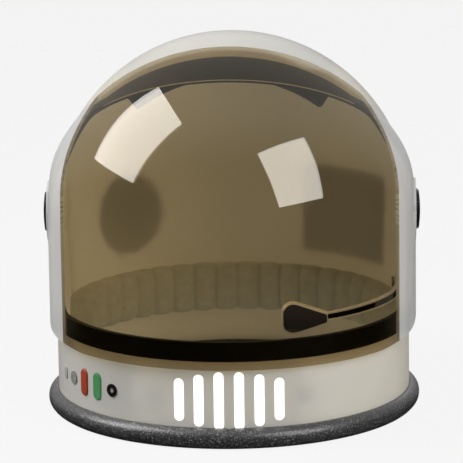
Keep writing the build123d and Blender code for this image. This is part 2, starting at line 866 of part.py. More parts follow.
def make_screw(azimuth, height, bearing_r, end_r):
    head = pin(azimuth, screw_head_r, bearing_r - screw_head_t, bearing_r, height)
    return head + pin(azimuth, screw_r, bearing_r - screw_head_t, end_r, height)


def make_small_screws():
    made = []
    bearing_r = box_out_r - tab_t - trim_clearance
    for azimuth, height in tab_places():
        made.append(make_screw(azimuth, height, bearing_r, inner_neck_r + screw_bite))
    seat = box_in_r - trim_clearance - cell_cover_t
    end = box_in_r + cover_screw_bite() - screw_clearance
    flat = seat - screw_head_r**2 / (2 * seat)
    made.append(make_screw(cell_deg, cover_screw_z(), flat, end))
    return Compound(children=made)


def make_shell_screws():
    made = []
    for place in lug_places():
        face = lug_axis(place)
        shank = extrude(face.offset(-lug_t) * Circle(shell_screw_r), lug_t + shell_screw_bite)
        head = extrude(face.offset(-lug_t) * Circle(shell_screw_head_r), -shell_screw_head_t)
        made.append(shank + head)
    return Compound(children=made)


def boom_outline(inset):
    """Side outline of the boom's strip from the microphone to its eye, moved inward by inset."""
    far = -boom_out_r
    level = -boom_drop
    near = boom_head_half_h - inset
    wide = boom_bend_half_h - inset
    rise = boom_drop - boom_eye_drop
    run = boom_eye_y - boom_bend_y
    slope = math.hypot(rise, run)
    side_y = wide * rise / slope
    side_z = wide * run / slope
    eye = (boom_eye_y, -boom_eye_drop)
    top_bend = (boom_bend_y - side_y / 2, level + wide)
    low_bend = (boom_bend_y + side_y / 2, level - wide)
    points = (
        (far, level - near),
        low_bend,
        (eye[0] + side_y, eye[1] - side_z),
        (eye[0] - side_y, eye[1] + side_z),
        top_bend,
        (far, level + near),
    )
    return side_prism(points, ((low_bend, boom_bend_r + wide), (top_bend, boom_bend_r)))


def boom_band(near_r, far_r, start_deg):
    """Curved band in the plane of the boom, from its start to the hinge."""
    quarter = math.degrees(math.pi / 2)
    middle = (start_deg + quarter) / 2
    low = hub_z - boom_drop - overrun
    return sector(near_r, far_r, low, hub_z, middle, quarter - middle)


def boom_strip(grow, start_deg):
    band = boom_band(boom_out_r - boom_t - grow, boom_out_r + grow, start_deg)
    return band & boom_outline(-grow) & slab(-reach, boom_eye_y)


def boom_groove(grow):
    start_deg = mic_neck_deg + boom_strip_gap_deg - math.degrees(grow / boom_out_r)
    band = boom_band(boom_out_r - boom_strip_t - grow, boom_out_r + grow, start_deg)
    end_y = boom_eye_y - boom_eye_r - boom_rim + grow
    return band & boom_outline(boom_rim - grow) & slab(-reach, end_y)


def make_boom():
    arm = boom_strip(0, boom_start_deg)
    face = eye_plane(boom_eye_x - boom_eye_half_t)
    arm += extrude(face * Circle(boom_eye_r), 2 * boom_eye_half_t)
    arm -= boom_groove(fixed_gap)
    bore = Circle(mic_screw_r + pivot_running_clearance)
    return arm - extrude(face.offset(-overrun) * bore, 2 * overrun)


def mic_plane(depth):
    """Plane of the microphone's front, lowered by depth, with X toward its narrow end at the boom."""
    neck = wall_plane(mic_neck_deg, mic_neck_r, boom_z).origin
    turn = math.radians(mic_turn_deg)
    along = (math.cos(turn), math.sin(turn), 0)
    level = Plane(origin=neck, x_dir=along, z_dir=(math.sin(turn), -math.cos(turn), 0))
    face = level.rotated((0, 0, -mic_tilt_deg))
    spot = neck - face.x_dir * mic_half_l - face.z_dir * depth
    return Plane(origin=spot, x_dir=face.x_dir, z_dir=face.z_dir)


def mic_outline(inset):
    """Front outline of the microphone: broad at its free end, narrow at the boom."""
    length = mic_half_l - inset
    tall = mic_half_h - inset
    neck = mic_neck_half_h - inset
    bend = -mic_shoulder
    points = [(-length, -tall), (bend, -tall), (length, -neck)]
    points += [(length, neck), (bend, tall), (-length, tall)]
    radii = (mic_end_corner_r, mic_side_corner_r, mic_neck_corner_r)
    radii = radii + tuple(reversed(radii))
    face = make_face(Polyline(*points, close=True))
    for point, radius in zip(points, radii):
        corner = face.vertices().sort_by_distance((point[0], point[1], 0))[0]
        face = fillet(corner, radius - inset)
    return face


def make_mic_body():
    body = extrude(mic_plane(mic_t) * mic_outline(0), mic_t)
    ends = body.faces().sort_by(Axis(mic_plane(0).origin, mic_plane(0).z_dir))
    body = fillet(ends[0].edges() + ends[-1].edges(), mic_edge_r / 2)
    body -= extrude(mic_plane(mic_cover_seat) * mic_outline(mic_rim - fixed_gap), mic_t)
    return body - boom_strip(fixed_gap, boom_start_deg - fixed_gap)


def make_mic_cover():
    cover = extrude(mic_plane(mic_cover_seat - fixed_gap) * mic_outline(mic_rim), mic_t)
    centre = mic_plane(mic_cover_dome_r - mic_cover_rise).rotated((0, mic_cover_lean_deg, 0))
    dome = Plane(origin=centre.origin, x_dir=centre.y_dir, z_dir=centre.x_dir)
    return cover & extrude(dome * Circle(mic_cover_dome_r), 2 * mic_half_l, both=True)


def eye_plane(x):
    return Plane(origin=(x, boom_eye_y, hub_z - boom_eye_drop), x_dir=(0, 1, 0), z_dir=(1, 0, 0))


def make_bracket():
    start = boom_eye_x + boom_eye_half_t + bracket_gap
    block = extrude(eye_plane(start) * Rectangle(bracket_w, bracket_h), overrun)
    block = block & shell_body(-shell_wall - bracket_wall_gap)
    hole = eye_plane(start) * Circle(mic_screw_r + screw_clearance)
    return block - extrude(hole, mic_screw_bite + screw_clearance)


def make_mic_screw():
    head_x = boom_eye_x - boom_eye_half_t - bracket_gap
    end = boom_eye_x + boom_eye_half_t + bracket_gap + mic_screw_bite
    screw = extrude(eye_plane(head_x) * Circle(mic_screw_r), end - head_x)
    return screw + extrude(eye_plane(head_x) * Circle(mic_screw_head_r), -mic_screw_head_t)


def crown_pad_plan():
    """Plan of the crown pad: a bowed front with sharp corners and a rounded rear."""
    half = crown_pad_half_w
    corner_y = crown_pad_front_y + crown_pad_front_bow
    bow = ThreePointArc((-half, corner_y), (0, crown_pad_front_y), (half, corner_y))
    rest = Polyline((half, corner_y), (half, crown_pad_rear_y), (-half, crown_pad_rear_y), (-half, corner_y))
    face = make_face([bow, *rest.edges()])
    rear = face.vertices().sort_by(Axis.Y)[-2:]
    return fillet(rear, crown_pad_corner_r)


def make_crown_pad():
    """Pad against the dome, relieved on its outer side where the trim's inner lip runs."""
    outer_r = inner_dome_r - pad_gap
    relief = Pos(0, 0, hub_z) * (Sphere(inner_dome_r) - Sphere(outer_r - crown_pad_lip_relief))
    pad = Pos(0, 0, hub_z) * (Sphere(outer_r) - Sphere(outer_r - crown_pad_t))
    pad = pad & extrude(Pos(0, 0, hub_z) * crown_pad_plan(), reach)
    lower = pad.faces().sort_by_distance((0, 0, hub_z))[0]
    pad = fillet(lower.edges(), crown_pad_edge_r)
    return pad - (relief & opening_outline(crown_pad_lip_set))


def make_rear_pad():
    """Foam band of upright rolls side by side on a thinner back, scalloped at both edges."""
    back = inner_neck_r - pad_gap
    lean = math.sin(math.radians(rear_pad_pitch_deg / 2))
    roll_r = back * lean / (1 + lean) + rear_pad_roll_overlap
    half = rear_pad_rolls * rear_pad_pitch_deg / 2
    half_turn = math.degrees(math.pi)
    low = rear_pad_low_z + rear_pad_back_set
    top = rear_pad_top_z - rear_pad_back_set
    body = sector(back - rear_pad_back_t, back, low, top, half_turn, half)
    length = rear_pad_top_z - rear_pad_low_z - 2 * roll_r
    middle = (rear_pad_top_z + rear_pad_low_z) / 2
    roll = Cylinder(roll_r, length)
    for side in sides:
        roll += Pos(0, 0, side * length / 2) * Sphere(roll_r)
    rolls = []
    for index in range(rear_pad_rolls):
        azimuth = half_turn - half + (index + 1 / 2) * rear_pad_pitch_deg
        place = wall_plane(azimuth, back - roll_r, middle)
        rolls.append(Pos(*place.origin) * roll)
    return body.fuse(*rolls)


def patch_skin():
    return shell_body(patch_gap + patch_t) - shell_body(patch_gap)


def make_round_patch():
    place = wall_plane(round_patch_deg, neck_r / 2, round_patch_z)
    return extrude(place * Circle(round_patch_r), reach) & patch_skin()


def make_rectangular_patch():
    place = wall_plane(rectangular_patch_deg, neck_r / 2, rectangular_patch_z)
    face = RectangleRounded(rectangular_patch_w, rectangular_patch_h, rectangular_patch_corner_r)
    return extrude(place * face, reach) & patch_skin()


def build():
    front, rear = make_shells()
    write("front_shell", front)
    write("rear_shell", rear)
    write("face_trim", make_trim())
    lens, cheeks = make_visor()
    write("visor_lens", lens)
    for side, name in ((-1, "left"), (1, "right")):
        write(name + "_visor_cheek", cheeks[side])
        write(name + "_pivot_bolt", make_bolt(side))
        write(name + "_pivot_washer", make_washer(side))
        write(name + "_knob", make_knob(side))
        write(name + "_knob_cap", make_knob_cap(side))
    write("neck_collar", make_collar())
    write("light_bars", make_diffuser())
    write("lamp_strip", make_lamp_strip())
    write("lamp_cover", make_lamp_cover())
    write("lamp_cable", lamp_cable(0))
    write("black_port_ring", make_port(port_deg))
    write("black_port_plug", make_port_plug(port_deg))
    write("grey_port_ring", make_port(grey_deg))
    write("grey_port_plug", make_port_plug(grey_deg))
    write("grey_indicator", make_indicator())
    write("red_button", make_button(red_deg))
    write("green_button", make_button(green_deg))
    write("sound_box", make_sound_box())
    write("circuit_board", make_board())
    write("button_keypad", make_keypad())
    write("button_cells", make_cells())
    write("cell_contacts", make_contacts())
    write("cell_cover", make_cell_cover())
    write("speaker", make_speaker())
    write("small_screws", make_small_screws())
    write("shell_screws", make_shell_screws())
    write("mic_boom", make_boom())
    write("boom_strip", boom_groove(0))
    write("mic_body", make_mic_body())
    write("mic_cover", make_mic_cover())
    write("mic_bracket", make_bracket())
    write("mic_pivot_screw", make_mic_screw())
    write("crown_pad", make_crown_pad())
    write("rear_pad", make_rear_pad())
    write("round_patch", make_round_patch())
    write("rectangular_patch", make_rectangular_patch())


build()
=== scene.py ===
import math

import bpy
import bmesh
from mathutils import Matrix, Vector, noise


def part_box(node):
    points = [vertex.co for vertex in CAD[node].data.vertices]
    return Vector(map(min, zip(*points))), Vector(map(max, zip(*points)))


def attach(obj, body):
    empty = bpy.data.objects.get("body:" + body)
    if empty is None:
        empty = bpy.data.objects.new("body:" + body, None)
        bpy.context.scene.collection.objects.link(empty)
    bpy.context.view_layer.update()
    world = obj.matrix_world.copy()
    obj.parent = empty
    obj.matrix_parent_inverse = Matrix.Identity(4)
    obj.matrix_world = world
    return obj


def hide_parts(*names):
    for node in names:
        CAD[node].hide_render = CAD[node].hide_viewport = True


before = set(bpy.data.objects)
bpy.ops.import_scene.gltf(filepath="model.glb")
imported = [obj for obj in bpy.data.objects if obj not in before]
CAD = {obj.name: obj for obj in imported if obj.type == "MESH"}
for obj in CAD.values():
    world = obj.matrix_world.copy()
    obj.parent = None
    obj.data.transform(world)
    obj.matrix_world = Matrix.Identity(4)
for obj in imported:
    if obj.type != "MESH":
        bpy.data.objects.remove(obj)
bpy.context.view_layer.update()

MM = 0.001
HUB_Z = 152.5 * MM

# Faces of the shell's neck and dome, the same sizes as the moulded parts
NECK_R = 137.3 * MM
INNER_NECK_R = 134.3 * MM
INNER_DOME_R = 136.5 * MM

# How strongly each plastic bends light
ABS_INDEX = 1.53
RUBBER_INDEX = 1.52
FOAM_INDEX = 1.5
ACRYLIC_INDEX = 1.49
POLYCARBONATE_INDEX = 1.58


def linear(hex_colour):
    """A screen colour such as #E9E6DD as the linear colour that a shader takes."""
    parts = [int(hex_colour[i:i + 2], 16) / 255 for i in (1, 3, 5)]
    return [c / 12.92 if c <= 0.04045 else ((c + 0.055) / 1.055) ** 2.4 for c in parts] + [1.0]


def add(tree, kind, sockets=None, **settings):
    """Adds a node with its settings; a socket's value is a number, a colour or another node's output."""
    made = tree.nodes.new("ShaderNode" + kind)
    for name, value in settings.items():
        setattr(made, name, value)
    for name, value in (sockets or {}).items():
        if isinstance(value, bpy.types.NodeSocket):
            tree.links.new(value, made.inputs[name])
        else:
            made.inputs[name].default_value = value
    return made


def finish_of(name):
    """An empty material, its node tree and the place on the object, in metres."""
    material = bpy.data.materials.new(name)
    material.use_nodes = True
    tree = material.node_tree
    tree.nodes.clear()
    place = add(tree, "TexCoord").outputs["Object"]
    return material, tree, place


def surface(tree, shader):
    """Ends the tree of a finish with its surface."""
    add(tree, "OutputMaterial", {"Surface": shader})


def mixed(tree, share, first, second):
    """The first colour where share is 0 and the second where it is 1."""
    return add(tree, "Mix", {0: share, 6: first, 7: second}, data_type="RGBA").outputs[2]


def mottle(tree, place, grain, low, high):
    """Blend of two colours in soft patches of about that grain, in metres."""
    cloud = add(tree, "TexNoise", {"Vector": place, "Scale": 1 / grain, "Detail": 3.0})
    ramp = add(tree, "MapRange", {"Value": cloud.outputs[0], "From Min": 0.35, "From Max": 0.65})
    return mixed(tree, ramp.outputs[0], linear(low), linear(high))


def uneven(tree, place, grain, low, high):
    """A number that drifts between low and high over that grain, for roughness."""
    cloud = add(tree, "TexNoise", {"Vector": place, "Scale": 1 / grain, "Detail": 2.0})
    return add(tree, "MapRange", {"Value": cloud.outputs[0], "To Min": low, "To Max": high}).outputs[0]


def relief(tree, place, grain, depth, detail=2.0, normal=None):
    """Fine bumps of that grain and depth in metres, on top of a coarser relief where one is given."""
    cloud = add(tree, "TexNoise", {"Vector": place, "Scale": 1 / grain, "Detail": detail})
    sockets = {"Height": cloud.outputs[0], "Distance": depth}
    if normal is not None:
        sockets["Normal"] = normal
    return add(tree, "Bump", sockets).outputs[0]


def moulded(name, colour, second, rough, texture=1.2 * MM, depth=0.012 * MM, coat=0.0):
    """Injection-moulded plastic: even colour that drifts a little, and faint orange peel."""
    material, tree, place = finish_of(name)
    skin = add(tree, "BsdfPrincipled", {
        "Base Color": mottle(tree, place, 22 * MM, colour, second),
        "Roughness": uneven(tree, place, 9 * MM, rough * 0.85, rough * 1.2),
        "IOR": ABS_INDEX,
        "Coat Weight": coat,
        "Coat Roughness": 0.08,
        "Normal": relief(tree, place, texture, depth),
    })
    surface(tree, skin.outputs[0])
    return material


def by_face(tree, outside, inside):
    """One number where the ray meets a solid's outside and another where it leaves from within."""
    face = add(tree, "NewGeometry").outputs["Backfacing"]
    return add(tree, "MapRange", {"Value": face, "To Min": outside, "To Max": inside}).outputs[0]


def moulded_shell():
    """Moulded white ABS, 3 mm thick: satin, slightly warm, and it lets a little light through."""
    material, tree, place = finish_of("moulded_white_abs")
    peel = relief(tree, place, 1.8 * MM, 0.01 * MM)
    skin = add(tree, "BsdfPrincipled", {
        "Base Color": mottle(tree, place, 60 * MM, "#E3E1DB", "#DCDAD3"),
        "Roughness": uneven(tree, place, 14 * MM, 0.27, 0.38),
        "IOR": ABS_INDEX,
        "Normal": peel,
    })
    glow = add(tree, "BsdfTranslucent", {"Color": linear("#F4EEDF"), "Normal": peel})
    let_through = by_face(tree, 0.3, 0.9)
    wall = add(tree, "MixShader", {"Fac": let_through, 1: skin.outputs[0], 2: glow.outputs[0]})
    surface(tree, wall.outputs[0])
    return material


def tinted_lens():
    """Olive-tinted polycarbonate sheet: clear, glossy on both faces, faint flow marks from the mould."""
    material, tree, place = finish_of("olive_polycarbonate")
    flow = relief(tree, place, 70 * MM, 0.25 * MM, detail=1.0)
    index = by_face(tree, POLYCARBONATE_INDEX, 1 / POLYCARBONATE_INDEX)
    tint = add(tree, "BsdfTransparent", {"Color": linear("#E2DAC8")})
    gloss = add(tree, "BsdfGlossy", {"Color": linear("#FFFFFF"), "Roughness": 0.025, "Normal": flow})
    edge = add(tree, "Fresnel", {"IOR": index})
    sheet = add(tree, "MixShader", {"Fac": edge.outputs[0], 1: tint.outputs[0], 2: gloss.outputs[0]})
    surface(tree, sheet.outputs[0])
    return material


def milky_cheek():
    """Milk-white polycarbonate: satin, lets soft light and faint shapes through, with flow streaks."""
    material, tree, place = finish_of("milky_polycarbonate")
    streak = add(tree, "Mapping", {"Vector": place, "Scale": (1.0, 1.0, 0.06)})
    base = mottle(tree, streak.outputs[0], 11 * MM, "#E9E9E8", "#DDDDDC")
    skin = add(tree, "BsdfPrincipled", {
        "Base Color": base, "Roughness": 0.24, "IOR": POLYCARBONATE_INDEX,
        "Normal": relief(tree, streak.outputs[0], 9 * MM, 0.02 * MM),
    })
    glow = add(tree, "BsdfTranslucent", {"Color": linear("#F0F0EF")})
    clear = add(tree, "BsdfTransparent", {"Color": linear("#F3F3F3")})
    soft = add(tree, "MixShader", {"Fac": 0.35, 1: skin.outputs[0], 2: glow.outputs[0]})
    both = add(tree, "MixShader", {"Fac": 0.2, 1: soft.outputs[0], 2: clear.outputs[0]})
    surface(tree, both.outputs[0])
    return material


def moulded_rubber():
    """Moulded black rubber: satin with dusty patches and a fine stipple."""
    material, tree, place = finish_of("moulded_black_rubber")
    skin = add(tree, "BsdfPrincipled", {
        "Base Color": mottle(tree, place, 8 * MM, "#0F0F0F", "#171716"),
        "Roughness": uneven(tree, place, 5 * MM, 0.42, 0.58),
        "IOR": RUBBER_INDEX,
        "Normal": relief(tree, place, 0.9 * MM, 0.03 * MM),
    })
    surface(tree, skin.outputs[0])
    return material


def foam_with_painted_glints():
    """Extruded closed-cell foam with a skin: dark grey, with pale specks painted into its colour as glints
    where cells catch the light.
    """
    material, tree, place = finish_of("closed_cell_foam")
    cells = add(tree, "TexVoronoi", {"Vector": place, "Scale": 1 / (1.9 * MM)}, feature="F1")
    fine = add(tree, "TexNoise", {"Vector": place, "Scale": 1 / (1.3 * MM), "Detail": 4.0})
    # painted highlight: pale specks mixed into the base colour as glints of light on the cells
    painted_glint_speck = add(tree, "MapRange", {
        "Value": fine.outputs[0], "From Min": 0.54, "From Max": 0.68, "To Max": 0.8,
    })
    base = mixed(tree, painted_glint_speck.outputs[0], linear("#323233"), linear("#8C8C8B"))
    dents = add(tree, "Bump", {"Height": cells.outputs[0], "Strength": 0.8, "Distance": 0.35 * MM})
    grain = relief(tree, place, 0.8 * MM, 0.25 * MM, normal=dents.outputs[0])
    skin = add(tree, "BsdfPrincipled", {
        "Base Color": base, "Roughness": 0.4, "IOR": FOAM_INDEX,
        "Coat Weight": 0.7, "Coat Roughness": 0.3, "Normal": grain,
    })
    surface(tree, skin.outputs[0])
    return material


def knitted(name, light, dark):
    """Warp-knitted polyester over foam: matt, fine upright ribs, soft sheen at the edges.
    The ribs are drawn about twice as coarse as real ones so that they show."""
    ribs = 1.1 * MM
    material, tree, place = finish_of(name)
    parts = add(tree, "SeparateXYZ", {"Vector": place})
    angle = add(tree, "Math", {0: parts.outputs[0], 1: parts.outputs[1]}, operation="ARCTAN2")
    arc = add(tree, "Math", {0: angle.outputs[0], 1: INNER_NECK_R / ribs * math.pi}, operation="MULTIPLY")
    rib = add(tree, "Math", {0: arc.outputs[0]}, operation="SINE")
    rows = add(tree, "Math", {0: parts.outputs[2], 1: math.pi / ribs}, operation="MULTIPLY")
    row = add(tree, "Math", {0: rows.outputs[0]}, operation="SINE")
    knit = add(tree, "Math", {0: rib.outputs[0], 1: row.outputs[0]}, operation="MULTIPLY")
    weave = add(tree, "Bump", {"Height": knit.outputs[0], "Strength": 0.6, "Distance": 0.2 * MM})
    lint = relief(tree, place, 0.7 * MM, 0.15 * MM, normal=weave.outputs[0])
    skin = add(tree, "BsdfPrincipled", {
        "Base Color": mottle(tree, place, 6 * MM, light, dark), "Roughness": 0.9,
        "Sheen Weight": 0.3, "Sheen Roughness": 0.5, "Normal": lint,
    })
    surface(tree, skin.outputs[0])
    return material


def plated(name, colour, rough, second="#8E8F91", metal=1.0):
    """Plated metal or plastic: thin bright film with faint marks of its making and a few dull patches."""
    material, tree, place = finish_of(name)
    skin = add(tree, "BsdfPrincipled", {
        "Base Color": mottle(tree, place, 3 * MM, colour, second),
        "Metallic": metal,
        "Roughness": uneven(tree, place, 2 * MM, rough * 0.8, rough * 1.3),
        "Normal": relief(tree, place, 0.5 * MM, 0.01 * MM),
    })
    surface(tree, skin.outputs[0])
    return material


def lit_diffuser():
    """Opal acrylic with lamps behind it: milk white. The light leaves at the front faces of the bars,
    and the part behind the wall only glimmers."""
    material, tree, place = finish_of("opal_acrylic")
    parts = add(tree, "SeparateXYZ", {"Vector": place})
    flat = add(tree, "CombineXYZ", {0: parts.outputs[0], 1: parts.outputs[1]})
    span = add(tree, "VectorMath", {0: flat.outputs[0]}, operation="LENGTH").outputs["Value"]
    power = add(tree, "MapRange", {
        "Value": span, "From Min": NECK_R - 0.5 * MM, "From Max": NECK_R - 0.1 * MM,
        "To Min": 0.04, "To Max": 1.1,
    })
    skin = add(tree, "BsdfPrincipled", {
        "Base Color": mottle(tree, place, 10 * MM, "#F6F6F3", "#EFEFEA"),
        "Roughness": 0.3, "IOR": ACRYLIC_INDEX,
        "Emission Color": linear("#FFFDF8"), "Emission Strength": power.outputs[0],
    })
    surface(tree, skin.outputs[0])
    return material


def circuit(name, mask, second):
    """Solder mask on glass epoxy: glossy, with faint lines where the copper tracks lie under it."""
    material, tree, place = finish_of(name)
    tracks = add(tree, "TexBrick", {
        "Vector": place, "Scale": 1 / (6 * MM), "Color1": linear(mask), "Color2": linear(second),
        "Mortar": linear(second), "Mortar Size": 0.03,
    })
    skin = add(tree, "BsdfPrincipled", {
        "Base Color": tracks.outputs[0], "Roughness": uneven(tree, place, 4 * MM, 0.25, 0.4),
        "Normal": relief(tree, place, 0.6 * MM, 0.02 * MM),
    })
    surface(tree, skin.outputs[0])
    return material


def silicone():
    """Moulded silicone rubber: milky, soft sheen, slightly see-through at thin edges."""
    material, tree, place = finish_of("moulded_silicone")
    skin = add(tree, "BsdfPrincipled", {
        "Base Color": mottle(tree, place, 4 * MM, "#D5D4CD", "#C6C5BD"), "Roughness": 0.5,
        "Subsurface Weight": 0.4, "Subsurface Radius": (1.2, 1.1, 1.0), "Subsurface Scale": MM,
        "Normal": relief(tree, place, 0.5 * MM, 0.01 * MM),
    })
    surface(tree, skin.outputs[0])
    return material


def printed_round():
    """Screen-printed vinyl disc: plain dark blue with a paler ring near its edge, satin film."""
    ring_r, ring_half_w = 27.5 * MM, 1.2 * MM
    material, tree, place = finish_of("printed_vinyl_round")
    low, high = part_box("round_patch")
    middle = (Vector(low) + Vector(high)) / 2
    from_middle = add(tree, "VectorMath", {0: place, 1: middle}, operation="SUBTRACT")
    span = add(tree, "VectorMath", {0: from_middle.outputs[0]}, operation="LENGTH")
    ring = add(tree, "Math", {0: span.outputs["Value"], 1: ring_r, 2: ring_half_w}, operation="COMPARE")
    field = mottle(tree, place, 9 * MM, "#24304E", "#1D2844")
    paint = mixed(tree, ring.outputs[0], field, linear("#C9CCD2"))
    skin = add(tree, "BsdfPrincipled", {
        "Base Color": paint, "Roughness": 0.38,
        "Normal": relief(tree, place, 1.4 * MM, 0.02 * MM),
    })
    surface(tree, skin.outputs[0])
    return material


def printed_bands():
    """Screen-printed vinyl rectangle: muted red and off-white bands, satin film."""
    band_h = 8 * MM
    material, tree, place = finish_of("printed_vinyl_bands")
    height = add(tree, "SeparateXYZ", {"Vector": place})
    steps = add(tree, "Math", {0: height.outputs[2], 1: math.pi / band_h}, operation="MULTIPLY")
    wave = add(tree, "Math", {0: steps.outputs[0]}, operation="SINE")
    band = add(tree, "Math", {0: wave.outputs[0], 1: 0.0}, operation="GREATER_THAN")
    dark = mottle(tree, place, 7 * MM, "#7E2A2A", "#742626")
    pale = mottle(tree, place, 7 * MM, "#D8D5CC", "#CECAC0")
    paint = mixed(tree, band.outputs[0], dark, pale)
    skin = add(tree, "BsdfPrincipled", {
        "Base Color": paint, "Roughness": 0.38,
        "Normal": relief(tree, place, 1.4 * MM, 0.02 * MM),
    })
    surface(tree, skin.outputs[0])
    return material


def seamless_floor():
    """Pale seamless studio paper."""
    material, tree, place = finish_of("studio_paper")
    skin = add(tree, "BsdfPrincipled", {
        "Base Color": mottle(tree, place, 400 * MM, "#3A3A3A", "#383838"), "Roughness": 0.9,
        "Specular IOR Level": 0.0, "Emission Color": linear("#FFFFFF"), "Emission Strength": 0.88,
    })
    surface(tree, skin.outputs[0])
    return material


def paint(node, material):
    """Gives a CAD node its finish."""
    piece = CAD[node]
    piece.data.materials.clear()
    piece.data.materials.append(material)


def mesh_piece(name, verts, faces, material, body):
    """A closed mesh from points and faces, finished and riding on a body."""
    mesh = bpy.data.meshes.new(name)
    mesh.from_pydata(verts, [], faces)
    same_point = 0.01 * MM
    shape = bmesh.new()
    shape.from_mesh(mesh)
    bmesh.ops.remove_doubles(shape, verts=shape.verts, dist=same_point)
    bmesh.ops.recalc_face_normals(shape, faces=shape.faces)
    shape.to_mesh(mesh)
    shape.free()
    for face in mesh.polygons:
        face.use_smooth = True
    piece = bpy.data.objects.new(name, mesh)
    bpy.context.scene.collection.objects.link(piece)
    mesh.materials.append(material)
    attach(piece, body)
    return piece


def tube_faces(rings, length, endless):
    """Faces of a tube through rings of that many points: endless, or with both its ends closed."""
    faces = []
    for i in range(rings if endless else rings - 1):
        for j in range(length):
            a, b = i * length + j, i * length + (j + 1) % length
            c, d = ((i + 1) % rings) * length + (j + 1) % length, ((i + 1) % rings) * length + j
            faces.append((a, b, c, d))
    if not endless:
        faces.append(tuple(range(length)))
        faces.append(tuple(reversed(range((rings - 1) * length, rings * length))))
    return faces


# The sizes in the next functions are in mm, and each point is turned to metres as it is placed

def foam_collar(material):
    """Slit foam tube round the neck: flat where it stands, lips pressed open by the shell,
    and a butt joint at the back. Its skin dips at the joint and is a little wavy."""
    tube_r, middle_r, middle_z = 8.0, 137.3, 7.5
    slit_in, slit_out, slit_floor = 134.25, 137.35, 3.6
    lip_in_z, lip_out_z, lip_round = 14.2, 14.4, 0.25
    joint_w, joint_dip = 1.6, 0.9
    wave, waves_per_mm, set_in = 0.16, 0.045, 0.05
    skin_from, foot_z = 7.2, 0.4
    steps, rings = 44, 360
    section = []
    start = math.acos((slit_out + lip_round - middle_r) / tube_r)
    stop = math.acos((slit_in - lip_round - middle_r) / tube_r)
    for i in range(steps + 1):
        turn = start - (start - stop + 2 * math.pi) * i / steps
        x = middle_r + tube_r * math.cos(turn)
        z = max(0.0, middle_z + tube_r * math.sin(turn))
        section.append((x, z))
    section += [(slit_in, lip_in_z), (slit_in, slit_floor), (slit_out, slit_floor), (slit_out, lip_out_z)]
    verts = []
    for i in range(rings):
        turn = 2 * math.pi * i / rings
        joint = math.exp(-((abs(turn - math.pi) * middle_r / joint_w) ** 2))
        for x, z in section:
            out = x - middle_r
            up = z - middle_z
            dent = 0.0
            if math.hypot(out, up) > skin_from and z > foot_z:
                spot = Vector((x * math.sin(turn), x * math.cos(turn), z)) * waves_per_mm
                dent = wave * noise.noise(spot) - joint_dip * joint - set_in
            r = (middle_r + out * (1 + dent / tube_r)) * MM
            height = (middle_z + up * (1 + dent / tube_r)) * MM
            verts.append((r * math.sin(turn), r * math.cos(turn), height))
    faces = tube_faces(rings, len(section), True)
    piece = mesh_piece("foam_collar_tube", verts, faces, material, "helmet")
    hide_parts("neck_collar")


def roll_band(material):
    """Foam band at the back of the neck: upright rolls under one knitted cover, pulled in between them."""
    back, low, high = 134.15, 42.6, 82.2
    pitch_deg, rolls = 8.4, 18
    deepest, shallow, sink = 18.4, 14.6, 1.7
    end_drop, end_share, end_left = 5.0, 0.45, 0.02
    fullness, squareness_across, squareness_up = 0.55, 0.8, 0.62
    crease, crease_along, crease_round, crease_seed = 0.15, 0.105, 0.175, 1.55
    per_roll, around = 14, 36
    columns = rolls * per_roll
    verts = []
    middle = (low + high) / 2
    for i in range(columns + 1):
        phase = (i / per_roll) % 1.0
        swell = abs(math.sin(math.pi * phase)) ** fullness
        end = min(i, columns - i) / (per_roll * end_share)
        taper = math.sqrt(max(0.0, 1 - (1 - min(1.0, end)) ** 2)) * (1 - end_left) + end_left
        depth = (shallow + (deepest - shallow) * swell) * taper
        half = (high - low) / 2 - sink * (1 - swell) - end_drop * (1 - taper)
        azimuth = math.radians(180 - rolls * pitch_deg / 2 + i * pitch_deg / per_roll)
        for j in range(around):
            turn = 2 * math.pi * j / around
            c, s = math.cos(turn), math.sin(turn)
            across = math.copysign(abs(c) ** squareness_across, c)
            up = math.copysign(abs(s) ** squareness_up, s)
            puff = crease * noise.noise(Vector((i * crease_along, j * crease_round, crease_seed)))
            r = back - depth / 2 + (depth / 2) * across + (puff if across < 0 else 0)
            r = min(r, back) * MM
            verts.append((r * math.sin(azimuth), -r * math.cos(azimuth), (middle + half * up) * MM))
    faces = tube_faces(columns + 1, around, False)
    piece = mesh_piece("rear_foam_band", verts, faces, material, "helmet")
    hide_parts("rear_pad")


# Sloped upper edge of the face opening in mm from the hub: its height at one place, and its fall
EDGE_RISE, EDGE_Y, EDGE_SLOPE = 117.0, -76.0, 0.76


def behind_opening(spot):
    """Distance in mm of a point, given from the hub, behind the upper edge of the face opening."""
    return (spot.z - EDGE_RISE + EDGE_SLOPE * (spot.y - EDGE_Y)) / math.hypot(1, EDGE_SLOPE)


